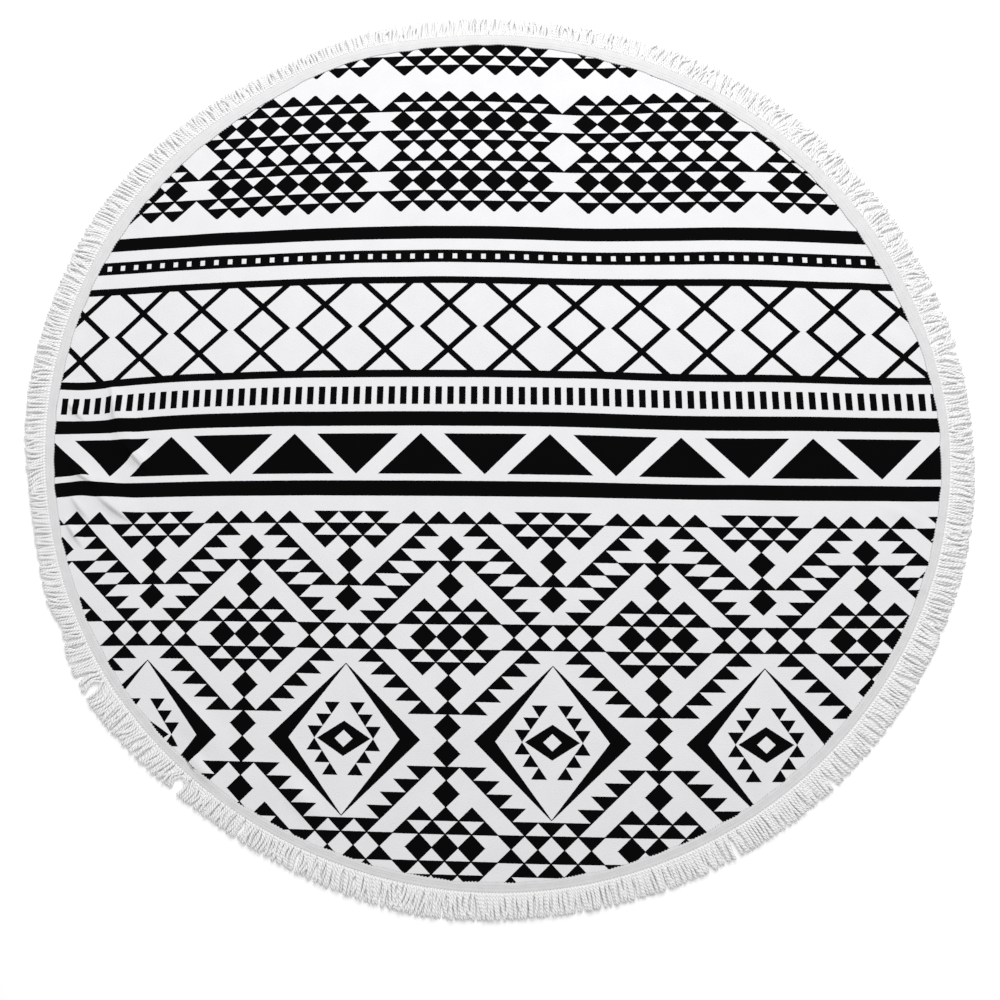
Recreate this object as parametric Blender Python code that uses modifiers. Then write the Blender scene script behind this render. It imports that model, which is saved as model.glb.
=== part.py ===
"""A round beach towel laid out flat: a terry panel, and a heading tape with its fringe sewn round the rim."""

import math
import random

import bmesh
import bpy
from mathutils import Matrix, Vector

# Driving sizes, in metres and degrees.
TAPE_HEIGHT = 0.0025
SEAM_GAP = 0.0003
CLOTH_THICKNESS = 0.0025

# The towel is about 1.50 m across, but not a true circle. Each row is an angle and the size there.
ROOT_RADII = (
    (0, 0.7110),
    (10, 0.7073),
    (20, 0.7046),
    (40, 0.7015),
    (60, 0.7027),
    (80, 0.7055),
    (90, 0.7085),
    (100, 0.7123),
    (110, 0.7205),
    (120, 0.7210),
    (135, 0.7235),
    (150, 0.7238),
    (165, 0.7204),
    (182, 0.7172),
    (215, 0.7169),
    (250, 0.7172),
    (270, 0.7185),
    (300, 0.7155),
    (325, 0.7127),
    (345, 0.7125),
)
TIP_RADII = (
    (0, 0.7498),
    (20, 0.7470),
    (45, 0.7463),
    (60, 0.7445),
    (80, 0.7410),
    (100, 0.7472),
    (120, 0.7490),
    (140, 0.7598),
    (150, 0.7628),
    (170, 0.7560),
    (188, 0.7450),
    (205, 0.7485),
    (220, 0.7540),
    (235, 0.7505),
    (250, 0.7553),
    (262, 0.7608),
    (280, 0.7565),
    (330, 0.7548),
    (350, 0.7533),
)
TAPE_WIDTHS = (
    (0, 0.0135),
    (10, 0.0155),
    (20, 0.0204),
    (45, 0.0203),
    (70, 0.0208),
    (90, 0.0180),
    (112, 0.0185),
    (128, 0.0200),
    (145, 0.0203),
    (160, 0.0168),
    (175, 0.0140),
    (205, 0.0133),
    (235, 0.0128),
    (270, 0.0140),
    (330, 0.0137),
)

# Soft ridges where the cloth lies a little loose.
CREASES = (
    # (x, y, length, width, height, turned)
    (-0.600, 0.015, 0.150, 0.050, 0.0045, -74),
    (-0.655, -0.095, 0.120, 0.044, 0.0040, -86),
    (-0.605, -0.110, 0.150, 0.048, 0.0045, -43),
    (-0.575, -0.045, 0.110, 0.044, 0.0030, -38),
    (-0.450, -0.475, 0.160, 0.060, 0.0035, -40),
    (0.560, 0.200, 0.220, 0.075, 0.0025, 62),
    (0.140, 0.590, 0.240, 0.080, 0.0025, 12),
)

LOCKS = 260
LOCK_SHARE = 0.74  # of the room round the rim, the rest is gaps
LOCK_SECTIONS = (
    # (share_of_length, share_of_width, height)
    (0.22, 1.00, 0.0040),
    (0.62, 0.92, 0.0046),
    (1.00, 0.66, 0.0034),
)
LENGTH_SPREAD = 0.05  # of a lock's length, either way
LEAN_SPREAD = 3.0

# Which way the strands lie: each row leans them by so many degrees, so many times round.
LEAN_WAVES = (
    # (waves, lean, towards)
    (3, 7.0, 10),
    (7, 5.0, 24),
    (11, 3.0, 5),
)

# Places where the strands part and leave a notch.
PARTINGS = (
    # (at, reach, lean)
    (1.0, 5.0, 15.0),
    (214.2, 4.0, 18.0),
    (229.7, 3.5, 18.0),
)

RIM_STEPS = 240
RING_STEPS = 56
SEED = 11

WHITE_TERRY = (0.84, 0.84, 0.83)
WHITE_CORD = (0.90, 0.89, 0.88)
TERRY_ROUGHNESS = 0.95
CORD_ROUGHNESS = 0.85


def clear_scene():
    for found in list(bpy.data.objects):
        bpy.data.objects.remove(found)


def cloth_material(name, colour, roughness):
    material = bpy.data.materials.new(name)
    material.use_nodes = True
    shader = material.node_tree.nodes["Principled BSDF"]
    shader.inputs["Base Color"].default_value = (*colour, 1.0)
    shader.inputs["Roughness"].default_value = roughness
    shader.inputs["Metallic"].default_value = 0.0
    return material


def finish_object(mesh_builder, name, material, collection):
    """Turns a finished bmesh into a named object in the towel's collection."""
    mesh = bpy.data.meshes.new(name)
    mesh_builder.to_mesh(mesh)
    mesh_builder.free()
    mesh.materials.append(material)
    made = bpy.data.objects.new(name, mesh)
    collection.objects.link(made)
    return made


def read_round(table, angle):
    """Reads a table of angles and sizes at any angle, as one smooth closed curve."""
    degrees = math.degrees(angle) % 360
    count = len(table)
    after = next((index for index, row in enumerate(table) if row[0] > degrees), count)
    places = []
    for step in (-2, -1, 0, 1):
        turns, index = divmod(after + step, count)
        places.append((table[index][0] + 360 * turns, table[index][1]))
    (at0, size0), (at1, size1), (at2, size2), (at3, size3) = places
    room = at2 - at1
    share = (degrees - at1) / room
    slope1 = (size2 - size0) / (at2 - at0) * room
    slope2 = (size3 - size1) / (at3 - at1) * room
    bend1 = 3 * (size2 - size1) - 2 * slope1 - slope2
    bend2 = 2 * (size1 - size2) + slope1 + slope2
    return size1 + share * (slope1 + share * (bend1 + share * bend2))


def root_radius(angle):
    """Where the tape ends and the locks begin."""
    return read_round(ROOT_RADII, angle)


def cloth_radius(angle):
    """Where the cloth ends, a seam's gap inside the tape."""
    return root_radius(angle) - read_round(TAPE_WIDTHS, angle) - SEAM_GAP


def crease_height(x, y):
    """The lift of the cloth at a point: a smooth hill over each crease, and nought past its ends."""
    lift = 0.0
    for centre_x, centre_y, length, width, height, turned in CREASES:
        local = Matrix.Rotation(-math.radians(turned), 2) @ Vector((x - centre_x, y - centre_y))
        reach = (2 * local.x / length) ** 2 + (2 * local.y / width) ** 2
        if reach < 1:
            lift += height * (1 - reach) ** 2
    return lift


def make_cloth(collection):
    """The panel: a disc of rings spun about its centre, creased, with its thickness on top."""
    disc = bmesh.new()
    spokes = [disc.verts.new((step / RING_STEPS, 0.0, 0.0)) for step in range(RING_STEPS + 1)]
    line = [disc.edges.new(pair) for pair in zip(spokes, spokes[1:])]
    bmesh.ops.spin(
        disc,
        geom=spokes + line,
        axis=(0, 0, 1),
        cent=(0, 0, 0),
        angle=math.tau,
        steps=RIM_STEPS,
        use_merge=True,
    )
    bmesh.ops.remove_doubles(disc, verts=disc.verts, dist=0.0001)
    for point in disc.verts:
        angle = math.atan2(point.co.y, point.co.x)
        point.co = point.co * cloth_radius(angle)
        point.co.z = crease_height(point.co.x, point.co.y)
    bmesh.ops.recalc_face_normals(disc, faces=disc.faces)
    if sum(face.normal.z for face in disc.faces) < 0:
        bmesh.ops.reverse_faces(disc, faces=disc.faces)
    material = cloth_material("white_terry", WHITE_TERRY, TERRY_ROUGHNESS)
    cloth = finish_object(disc, "towel_cloth", material, collection)
    cloth.data.shade_smooth()
    cloth.data.set_sharp_from_angle(angle=math.radians(40))
    thickness = cloth.modifiers.new("thickness", "SOLIDIFY")
    thickness.thickness = CLOTH_THICKNESS
    thickness.offset = 1.0
    return cloth


def strand_lean(angle):
    """The turn of the strands away from straight out, at this angle round the rim."""
    lean = sum(
        amount * math.sin(waves * (angle - math.radians(towards)))
        for waves, amount, towards in LEAN_WAVES
    )
    for at, reach, amount in PARTINGS:
        away = math.degrees(math.remainder(angle - math.radians(at), math.tau)) / reach
        lean += amount * away * math.exp(0.5 - 0.5 * away * away)
    return math.radians(lean)


def make_tape(locks):
    """The heading tape: a flat bar spun round the rim, two steps to a lock, one of them its root."""
    tape = bmesh.new()
    corners = [tape.verts.new((out, 0.0, up)) for out, up in ((0, 0), (1, 0), (1, 1), (0, 1))]
    loop = [tape.edges.new((corners[i - 1], corners[i])) for i in range(4)]
    bmesh.ops.translate(tape, verts=corners, vec=(1.0, 0.0, 0.0))
    bmesh.ops.spin(
        tape,
        geom=corners + loop,
        axis=(0, 0, 1),
        cent=(0, 0, 0),
        angle=math.tau,
        steps=2 * locks,
        use_merge=True,
    )
    bmesh.ops.remove_doubles(tape, verts=tape.verts, dist=0.0001)
    pitch = math.tau / locks
    for point in tape.verts:
        step = round(math.atan2(point.co.y, point.co.x) / (pitch / 2)) % (2 * locks)
        side = 0.5 * LOCK_SHARE if step % 2 else -0.5 * LOCK_SHARE
        angle = (step // 2 + side) * pitch
        outer = math.hypot(point.co.x, point.co.y) > 1.5
        radius = root_radius(angle) if outer else cloth_radius(angle) + SEAM_GAP
        up = TAPE_HEIGHT * (point.co.z > 0.5)
        point.co = (radius * math.cos(angle), radius * math.sin(angle), up)
    bmesh.ops.recalc_face_normals(tape, faces=tape.faces)
    return tape


def number_roots(tape, locks):
    """Finds the tape's outer faces that carry a lock, and writes each one's number into it."""
    number = tape.faces.layers.int.new("lock")
    roots = []
    for face in tape.faces:
        centre = face.calc_center_median()
        outward = Vector((centre.x, centre.y, 0)).normalized()
        turn = math.atan2(centre.y, centre.x) / (math.tau / locks)
        if face.normal.dot(outward) > 0.9 and abs(turn - round(turn)) < 0.1:
            face[number] = round(turn) % locks
            roots.append(face)
    return roots, number


def place_section(face, middle, along, width, height):
    """Puts an end face of a lock square across its run, resting on the ground."""
    across = Vector((-along.y, along.x, 0))
    old_middle = face.calc_center_median()
    for corner in face.verts:
        side = 1 if (corner.co - old_middle).dot(across) > 0 else -1
        up = height if corner.co.z > old_middle.z else 0.0
        corner.co = middle + across * (side * width / 2)
        corner.co.z = up


def grow_locks(tape, locks):
    """Draws each root out into a lock, in a few sections that follow its own lean."""
    chance = random.Random(SEED)
    faces, number = number_roots(tape, locks)
    angles = [index * math.tau / locks for index in range(locks)]
    leans = [strand_lean(angle) + math.radians(chance.uniform(-LEAN_SPREAD, LEAN_SPREAD)) for angle in angles]
    rim = [root_radius(angle) for angle in angles]
    reaches = [read_round(TIP_RADII, angle) - out for angle, out in zip(angles, rim)]
    lengths = [reach * (1 + chance.uniform(-LENGTH_SPREAD, LENGTH_SPREAD)) for reach in reaches]
    width = LOCK_SHARE * math.tau * sum(rim) / locks**2
    reached = [Vector((r * math.cos(a), r * math.sin(a), 0)) for r, a in zip(rim, angles)]
    done = 0.0
    for share, width_share, height in LOCK_SECTIONS:
        faces = bmesh.ops.extrude_discrete_faces(tape, faces=faces)["faces"]
        for face in faces:
            index = face[number]
            heading = angles[index] + leans[index] * (done + share) / 2
            along = Vector((math.cos(heading), math.sin(heading), 0))
            reached[index] += along * lengths[index] * (share - done)
            place_section(face, reached[index], along, width * width_share, height)
        done = share
    bmesh.ops.recalc_face_normals(tape, faces=tape.faces)


def make_fringe(collection):
    trim = make_tape(LOCKS)
    grow_locks(trim, LOCKS)
    material = cloth_material("white_cord", WHITE_CORD, CORD_ROUGHNESS)
    return finish_object(trim, "fringe_trim", material, collection)


def build_towel():
    clear_scene()
    collection = bpy.data.collections.new("round_beach_towel")
    bpy.context.scene.collection.children.link(collection)
    make_cloth(collection)
    make_fringe(collection)


build_towel()
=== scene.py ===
"""Dresses the round beach towel: its printed terry panel, its heading tape and its twisted cord fringe."""

from __future__ import annotations

import logging
import math
from dataclasses import dataclass
from enum import Enum

import bmesh
import bpy
import numpy as np
from bmesh.types import BMesh
from bpy.types import Material, Mesh, Node, NodeSocket, NodeTree, Object
from mathutils import Matrix, Vector


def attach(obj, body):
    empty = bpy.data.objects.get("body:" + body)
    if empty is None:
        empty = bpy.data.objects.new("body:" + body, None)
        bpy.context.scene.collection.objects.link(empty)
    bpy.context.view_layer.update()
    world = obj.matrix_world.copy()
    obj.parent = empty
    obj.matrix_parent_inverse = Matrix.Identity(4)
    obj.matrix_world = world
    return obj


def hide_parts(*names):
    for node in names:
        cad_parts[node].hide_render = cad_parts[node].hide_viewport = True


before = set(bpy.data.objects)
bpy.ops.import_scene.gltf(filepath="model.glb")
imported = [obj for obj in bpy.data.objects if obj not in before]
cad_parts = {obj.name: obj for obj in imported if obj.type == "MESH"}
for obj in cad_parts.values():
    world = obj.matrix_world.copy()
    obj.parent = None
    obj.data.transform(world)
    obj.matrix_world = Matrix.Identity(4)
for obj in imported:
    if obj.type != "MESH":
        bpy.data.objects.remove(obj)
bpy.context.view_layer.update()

log = logging.getLogger("towel")

TOWEL_BODY = "root"
PRINT_COORDINATES = "Cloth"
STRAND_COORDINATES = "Strand"
WEAVE_COORDINATES = "Weave"
BAKE_COORDINATES = "OFBake"
NODES_A_LINE = 40
NODE_SPACING = (180, 260)
MERGE_DISTANCE = 1e-5
MEAN_RIM = 0.705  # the mean radius of the tape, in metres
PLAIN_WHITE = (1.0, 1.0, 1.0, 1.0)

Pairs = tuple[tuple[float, float], ...]
Creases = tuple[tuple[float, float, float, float, float, float], ...]
Pulls = tuple[tuple[float, int, int], ...]
Colour = tuple[float, float, float]
Look = tuple[NodeSocket, NodeSocket]  # a colour and a normal


class Slot(Enum):
    """The record's material slots."""

    CLOTH = "printed_terry"
    CORD = "fringe_cord"


class Face(Enum):
    """The panel's two faces, as material slots on its mesh."""

    PRINTED = 0
    PLAIN = 1


# ---------------------------------------------------------------- the shape of the rim and how it lies


def around(angles: np.ndarray, table: Pairs) -> np.ndarray:
    """Reads a closed curve that is given by its values at a few angles round the rim.

    Args:
        angles: where to read it, in radians.
        table: pairs of an angle in degrees and the value there, in rising order.

    Returns:
        The values, joined smoothly between the pairs and round the end.
    """
    at = np.array([pair[0] for pair in table])
    value = np.array([pair[1] for pair in table])
    at_all = np.concatenate([at[-2:] - 360, at, at[:2] + 360])
    value_all = np.concatenate([value[-2:], value, value[:2]])
    slope = np.gradient(value_all, at_all)
    degrees = np.degrees(angles) % 360
    left = np.clip(np.searchsorted(at_all, degrees, side="right") - 1, 0, len(at_all) - 2)
    room = at_all[left + 1] - at_all[left]
    t = (degrees - at_all[left]) / room
    return (
        value_all[left] * (1 + 2 * t) * (1 - t) ** 2
        + slope[left] * room * t * (1 - t) ** 2
        + value_all[left + 1] * t * t * (3 - 2 * t)
        + slope[left + 1] * room * t * t * (t - 1)
    )


@dataclass(frozen=True)
class Rim:
    """The towel's uneven round outline, as pairs of an angle in degrees and a radius in metres."""

    roots: Pairs = (
        (0, 0.7110), (10, 0.7073), (20, 0.7046), (40, 0.7015), (60, 0.7027), (80, 0.7055), (90, 0.7085),
        (100, 0.7123), (105, 0.7170), (110, 0.7213), (115, 0.7226), (120, 0.7207), (126, 0.7205),
        (135, 0.7235), (150, 0.7238), (165, 0.7204), (182, 0.7172), (215, 0.7169), (250, 0.7172),
        (270, 0.7185), (300, 0.7155), (325, 0.7127), (345, 0.7125),
    )
    tips: Pairs = (
        (0, 0.7498), (6, 0.7492), (20, 0.7470), (32, 0.7460), (45, 0.7463), (60, 0.7445), (72, 0.7420),
        (85, 0.7405), (91, 0.7448), (100, 0.7472), (108, 0.7508), (116, 0.7475), (124, 0.7495),
        (130, 0.7545), (140, 0.7598), (149, 0.7630), (160, 0.7585), (175, 0.7540), (181, 0.7508),
        (187, 0.7447), (196, 0.7445), (204, 0.7492), (206.3, 0.7440), (209, 0.7525), (224, 0.7545),
        (231, 0.7500), (240, 0.7505), (250, 0.7553), (262, 0.7610), (272, 0.7578), (300, 0.7555),
        (330, 0.7548), (350, 0.7533),
    )
    widths: Pairs = (
        (0, 0.0135), (10, 0.0155), (18, 0.0205), (45, 0.0203), (70, 0.0208), (84, 0.0188), (94, 0.0176),
        (112, 0.0185), (124, 0.0198), (145, 0.0203), (158, 0.0172), (175, 0.0140), (205, 0.0133),
        (235, 0.0128), (270, 0.0140), (330, 0.0137),
    )
    tape_cover: float = 0.0080  # how far the tape reaches past the cloth's own edge
    wobbles: tuple[tuple[int, float, float], ...] = (
        # (how many round the rim, phase, size): how unevenly the tape is sewn
        (37, 0.5, 0.0005), (61, 1.9, 0.0004), (103, 3.0, 0.0004),
    )

    def root_radius(self, angles: np.ndarray) -> np.ndarray:
        """Where the cords leave the tape."""
        return around(angles, self.roots)

    def tip_radius(self, angles: np.ndarray) -> np.ndarray:
        """How far out the cords reach."""
        return around(angles, self.tips)

    def tape_inside(self, angles: np.ndarray) -> np.ndarray:
        """The tape's inner edge, where the print ends."""
        wobble = sum(size * np.sin(count * angles + phase) for count, phase, size in self.wobbles)
        return self.root_radius(angles) - around(angles, self.widths) + wobble

    def cloth_radius(self, angles: np.ndarray) -> np.ndarray:
        """The panel's own edge, hidden under the tape."""
        return self.root_radius(angles) - self.tape_cover


@dataclass(frozen=True)
class Lie:
    """How the towel lies on the ground: where it is creased, and where it stands a little off it."""

    creases: Creases = (
        # (x, y, length, width, height, turned)
        (-0.600, 0.015, 0.150, 0.050, 0.0045, -74), (-0.655, -0.095, 0.120, 0.044, 0.0040, -86),
        (-0.605, -0.110, 0.150, 0.048, 0.0045, -43), (-0.575, -0.045, 0.110, 0.044, 0.0030, -38),
        (-0.450, -0.475, 0.160, 0.060, 0.0035, -40), (0.560, 0.200, 0.220, 0.075, 0.0025, 62),
        (0.140, 0.590, 0.240, 0.080, 0.0025, 12), (-0.444, -0.537, 0.085, 0.030, 0.0040, -48),
        (-0.290, -0.585, 0.150, 0.050, 0.0050, -48), (0.640, 0.152, 0.100, 0.030, 0.0020, -53),
        (0.653, 0.042, 0.060, 0.022, 0.0018, -62), (0.630, -0.142, 0.100, 0.028, 0.0018, -26),
    )
    folds: Creases = (
        # (x, y, length, width, height, turned): the fine ones
        (-0.572, -0.048, 0.080, 0.024, 0.0046, -48), (-0.651, -0.081, 0.060, 0.022, 0.0044, -32),
        (-0.601, -0.132, 0.085, 0.025, 0.0046, -37), (-0.654, -0.131, 0.060, 0.022, 0.0028, -51),
        (-0.661, -0.172, 0.070, 0.022, 0.0036, -55), (-0.672, 0.029, 0.055, 0.022, 0.0038, -48),
        (-0.612, 0.040, 0.120, 0.026, 0.0030, -80),
    )
    waves: tuple[tuple[float, float, float, float], ...] = (
        # (waves a metre across, waves a metre along, phase, height)
        (2.3, 1.1, 0.4, 0.00070), (-1.7, 2.9, 1.9, 0.00065), (3.9, -2.2, 4.1, 0.00050),
        (1.2, 4.6, 2.7, 0.00045), (6.1, 2.3, 0.9, 0.00032), (-4.4, 5.2, 3.3, 0.00032),
        (7.3, -6.4, 5.0, 0.00020), (-8.8, -3.1, 1.2, 0.00020),
    )
    wave_foot: float = 0.0004  # how softly a wave comes down on the ground
    flat_rim: float = 0.08  # the waves die away over this width
    puckers: tuple[tuple[int, float, float], ...] = (
        # (how many round the rim, phase, height)
        (97, 0.3, 0.00016), (131, 2.2, 0.00014), (173, 4.4, 0.00010),
    )
    pucker_reach: float = 0.014

    def lift(self, rim: Rim, x: np.ndarray, y: np.ndarray) -> np.ndarray:
        """How far the cloth stands off the ground.

        Args:
            rim: the outline that the seam follows.
            x: places across, in metres.
            y: places along, in metres.

        Returns:
            The height of the cloth's underside at each place.
        """
        height = np.zeros_like(x)
        for centre_x, centre_y, length, width, top, turned in self.creases + self.folds:
            cosine, sine = math.cos(math.radians(turned)), math.sin(math.radians(turned))
            run = (x - centre_x) * cosine + (y - centre_y) * sine
            side = (y - centre_y) * cosine - (x - centre_x) * sine
            reach = (2 * run / length) ** 2 + (2 * side / width) ** 2
            height += np.where(reach < 1, top * (1 - reach) ** 2, 0.0)
        swell = np.zeros_like(x)
        for across, along, phase, top in self.waves:
            swell += top * np.sin(math.tau * (across * x + along * y) + phase)
        angles = np.arctan2(y, x)
        from_rim = rim.tape_inside(angles) - np.hypot(x, y)
        spared = np.clip(from_rim / self.flat_rim, 0, 1)
        height += (swell + np.hypot(swell, self.wave_foot)) / 2 * spared**2 * (3 - 2 * spared)
        inward = np.abs(from_rim) / self.pucker_reach
        for count, phase, top in self.puckers:
            height += top * (1 + np.sin(count * angles + phase)) * np.exp(-inward)
        return height


# ---------------------------------------------------------------- meshes


def spun(profile: list[tuple[float, float]], steps: int, closed: bool) -> BMesh:
    """Rolls a grid once round the upright axis, so that each of its columns follows a profile.

    Args:
        profile: its points, each a distance from the axis and a height.
        steps: the number of steps round.
        closed: whether the profile is a loop, or a line with both its ends on the axis.

    Returns:
        The shell, with its seam and poles merged and nothing left open.
    """
    line = profile + profile[:1] if closed else profile
    shell = bmesh.new()
    bmesh.ops.create_grid(shell, x_segments=steps, y_segments=len(line) - 1, size=1.0)
    for point in shell.verts:
        angle = (point.co.x + 1) * math.pi
        out, up = line[round((point.co.y + 1) / 2 * (len(line) - 1))]
        point.co = (out * math.cos(angle), out * math.sin(angle), up)
    bmesh.ops.remove_doubles(shell, verts=shell.verts, dist=MERGE_DISTANCE)
    bmesh.ops.recalc_face_normals(shell, faces=shell.faces)
    return shell


def mesh_object(name: str, builder: BMesh) -> Object:
    """Turns a finished bmesh into a smooth object at the origin.

    Args:
        name: the piece's name.
        builder: the bmesh, which is freed.

    Returns:
        The object, in the scene's own collection.
    """
    mesh = bpy.data.meshes.new(name)
    builder.to_mesh(mesh)
    builder.free()
    mesh.shade_smooth()
    made = bpy.data.objects.new(name, mesh)
    bpy.context.scene.collection.objects.link(made)
    return made


def read_all(items: bpy.types.bpy_prop_collection, name: str, kind: type, width: int = 1) -> np.ndarray:
    """Reads one property of all of a mesh's items.

    Args:
        items: its points, faces, face corners or coordinates.
        name: the property's name.
        kind: the kind of number that it holds.
        width: how many numbers each item has.

    Returns:
        One row for each item, or one number where the width is one.
    """
    flat = np.empty(width * len(items), dtype=kind)
    items.foreach_get(name, flat)
    return flat.reshape(-1, width) if width > 1 else flat


def get_points(mesh: Mesh) -> np.ndarray:
    """The mesh's points, one row each."""
    return read_all(mesh.vertices, "co", np.float32, 3).astype(float)


def set_points(mesh: Mesh, points: np.ndarray) -> None:
    """Moves the mesh's points to these places."""
    mesh.vertices.foreach_set("co", points.astype(np.float32).ravel())
    mesh.update()


def loop_points(mesh: Mesh) -> np.ndarray:
    """Which point each face corner stands on."""
    return read_all(mesh.loops, "vertex_index", np.int32)


def loop_faces(mesh: Mesh) -> np.ndarray:
    """Which face each face corner belongs to."""
    sizes = read_all(mesh.polygons, "loop_total", np.int32)
    return np.repeat(np.arange(len(sizes)), sizes)


def face_means(mesh: Mesh, values: np.ndarray) -> np.ndarray:
    """Averages a value over each face's corners.

    Args:
        mesh: the mesh.
        values: one value for each of its points.

    Returns:
        One value for each face.
    """
    faces = loop_faces(mesh)
    total = np.bincount(faces, weights=values[loop_points(mesh)])
    return total / np.bincount(faces)


def write_uv(mesh: Mesh, name: str, across: np.ndarray, along: np.ndarray) -> None:
    """Writes one pair of coordinates at each face corner into a UV map of this name."""
    layer = mesh.uv_layers.get(name) or mesh.uv_layers.new(name=name)
    pairs = np.stack([across, along], axis=1).astype(np.float32)
    layer.uv.foreach_set("vector", pairs.ravel())


def tip_over(shape: BMesh) -> None:
    """Turns a shape's upright axis to lie along x."""
    bmesh.ops.rotate(shape, verts=shape.verts, matrix=Matrix.Rotation(math.pi / 2, 3, "Y"))


def repeated(template: Object, name: str, count: int) -> Object:
    """Repeats a small shape with an Array modifier, and makes one mesh of the copies.

    Args:
        template: the shape, which is removed.
        name: the new piece's name.
        count: how many copies there are.

    Returns:
        The joined piece. Its copies lie in order, and all of them at the template's own place.
    """
    rows = template.modifiers.new("copies", "ARRAY")
    rows.fit_type = "FIXED_COUNT"
    rows.count = count
    rows.use_relative_offset = False
    rows.use_constant_offset = True
    rows.constant_offset_displace = (0, 0, 0)
    shape = template.evaluated_get(bpy.context.evaluated_depsgraph_get())
    mesh = bpy.data.meshes.new_from_object(shape)
    mesh.name = name
    bpy.data.objects.remove(template)
    made = bpy.data.objects.new(name, mesh)
    bpy.context.scene.collection.objects.link(made)
    return made


# ---------------------------------------------------------------- shader sums


class Formula:
    """A number at each point of a surface. Arithmetic on it lays Math nodes in its own shader."""

    def __init__(self, tree: NodeTree, socket: NodeSocket) -> None:
        """Keeps the socket that gives the number, and the tree that further nodes go in."""
        self.tree = tree
        self.socket = socket

    def then(self, operation: str, *others: Formula | float) -> Formula:
        """Lays one Math node on this number.

        Args:
            operation: the Math node's own word for what it does.
            others: the node's second and third numbers.

        Returns:
            The number that the node gives.
        """
        node = lay_node(self.tree, "ShaderNodeMath", operation=operation)
        for socket, given in zip(node.inputs, (self, *others)):
            if isinstance(given, Formula):
                self.tree.links.new(given.socket, socket)
            else:
                socket.default_value = given
        return Formula(self.tree, node.outputs[0])

    def __add__(self, other: Formula | float) -> Formula:
        """Adds a number."""
        return self.then("ADD", other)

    def __sub__(self, other: Formula | float) -> Formula:
        """Takes a number away."""
        return self.then("SUBTRACT", other)

    def __rsub__(self, other: float) -> Formula:
        """Takes this number away from a plain one."""
        return self.then("MULTIPLY_ADD", -1.0, other)

    def __mul__(self, other: Formula | float) -> Formula:
        """Multiplies by a number."""
        return self.then("MULTIPLY", other)

    def __truediv__(self, other: Formula | float) -> Formula:
        """Divides by a number."""
        return self.then("DIVIDE", other)

    def __abs__(self) -> Formula:
        """The number without its sign."""
        return self.then("ABSOLUTE")

    def near(self, centre: Formula | float, reach: Formula | float) -> Formula:
        """One within reach of the centre, and nought outside."""
        return self.then("COMPARE", centre, reach)

    def between(self, low: float, high: float) -> Formula:
        """One from low to high, and nought outside."""
        return self.near((low + high) / 2, (high - low) / 2)

    def below(self, limit: Formula | float) -> Formula:
        """One under the limit, and nought above it."""
        return self.then("LESS_THAN", limit)

    def off_nearest(self, centre: float, pitch: float) -> Formula:
        """The distance from the nearest of the centres that repeat at this pitch."""
        return (self - centre).then("PINGPONG", pitch / 2)


def lay_node(tree: NodeTree, kind: str, **settings: object) -> Node:
    """Adds a node, set beside the ones that are there.

    Args:
        tree: the shader or group that it goes in.
        kind: Blender's name for the node.
        settings: the node's own properties.

    Returns:
        The node.
    """
    count = len(tree.nodes)
    node = tree.nodes.new(kind)
    for name, value in settings.items():
        setattr(node, name, value)
    across, down = NODE_SPACING
    node.location = (count % NODES_A_LINE * across, -(count // NODES_A_LINE) * down)
    return node


def fill(node: Node, **inputs: object) -> Node:
    """Links or sets a node's inputs.

    Args:
        node: the node.
        inputs: for each input's name, with _ for a space, a socket, a formula or a plain value.

    Returns:
        The same node.
    """
    for name, given in inputs.items():
        socket = node.inputs[name.replace("_", " ")]
        if isinstance(given, Formula):
            given = given.socket
        if isinstance(given, NodeSocket):
            node.id_data.links.new(given, socket)
        else:
            socket.default_value = given
    return node


def uv_formulas(tree: NodeTree, name: str) -> tuple[Formula, Formula, NodeSocket]:
    """Reads a piece's own UV map.

    Args:
        tree: the shader that reads it.
        name: the map's name.

    Returns:
        Its two numbers, and both of them as one vector.
    """
    read = lay_node(tree, "ShaderNodeUVMap", uv_map=name)
    parts = lay_node(tree, "ShaderNodeSeparateXYZ")
    tree.links.new(read.outputs["UV"], parts.inputs[0])
    return Formula(tree, parts.outputs["X"]), Formula(tree, parts.outputs["Y"]), read.outputs["UV"]


def blended(tree: NodeTree, share: Formula, colours: tuple[Colour, Colour]) -> NodeSocket:
    """Blends two colours.

    Args:
        tree: the shader.
        share: how much of the second colour shows.
        colours: the two colours.

    Returns:
        The blended colour.
    """
    mix = lay_node(tree, "ShaderNodeMix", data_type="RGBA")
    tree.links.new(share.socket, mix.inputs["Factor"])
    ends = [socket for socket in mix.inputs if socket.type == "RGBA"]
    for socket, colour in zip(ends, colours):
        socket.default_value = (*colour, 1.0)
    return next(socket for socket in mix.outputs if socket.type == "RGBA")


def new_group(
    name: str, inputs: tuple[tuple[str, str, float], ...], outputs: tuple[str, ...]
) -> tuple[NodeTree, Node, Node]:
    """Starts a shader node group with named sockets.

    Args:
        name: the group's name.
        inputs: the name, kind of socket and first value of each input.
        outputs: the names of the numbers that it puts out.

    Returns:
        The group, its input node and its output node.
    """
    group = bpy.data.node_groups.new(name, "ShaderNodeTree")
    for label, kind, value in inputs:
        made = group.interface.new_socket(name=label, in_out="INPUT", socket_type=kind)
        if kind == "NodeSocketFloat":
            made.default_value = value
    for label in outputs:
        group.interface.new_socket(name=label, in_out="OUTPUT", socket_type="NodeSocketFloat")
    return group, lay_node(group, "NodeGroupInput"), lay_node(group, "NodeGroupOutput")


PATCH_SCALE = 0.04  # of the pile's soft patches, against its loops
# The first darkens the hollows between the loops as painted shade; the second is the patches' own
# unevenness; the last is the lowest tone.
LOOP_PAINTED_SHADE, PATCH_SHADE, LEAST_TONE = 0.10, 0.08, 0.88


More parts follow.
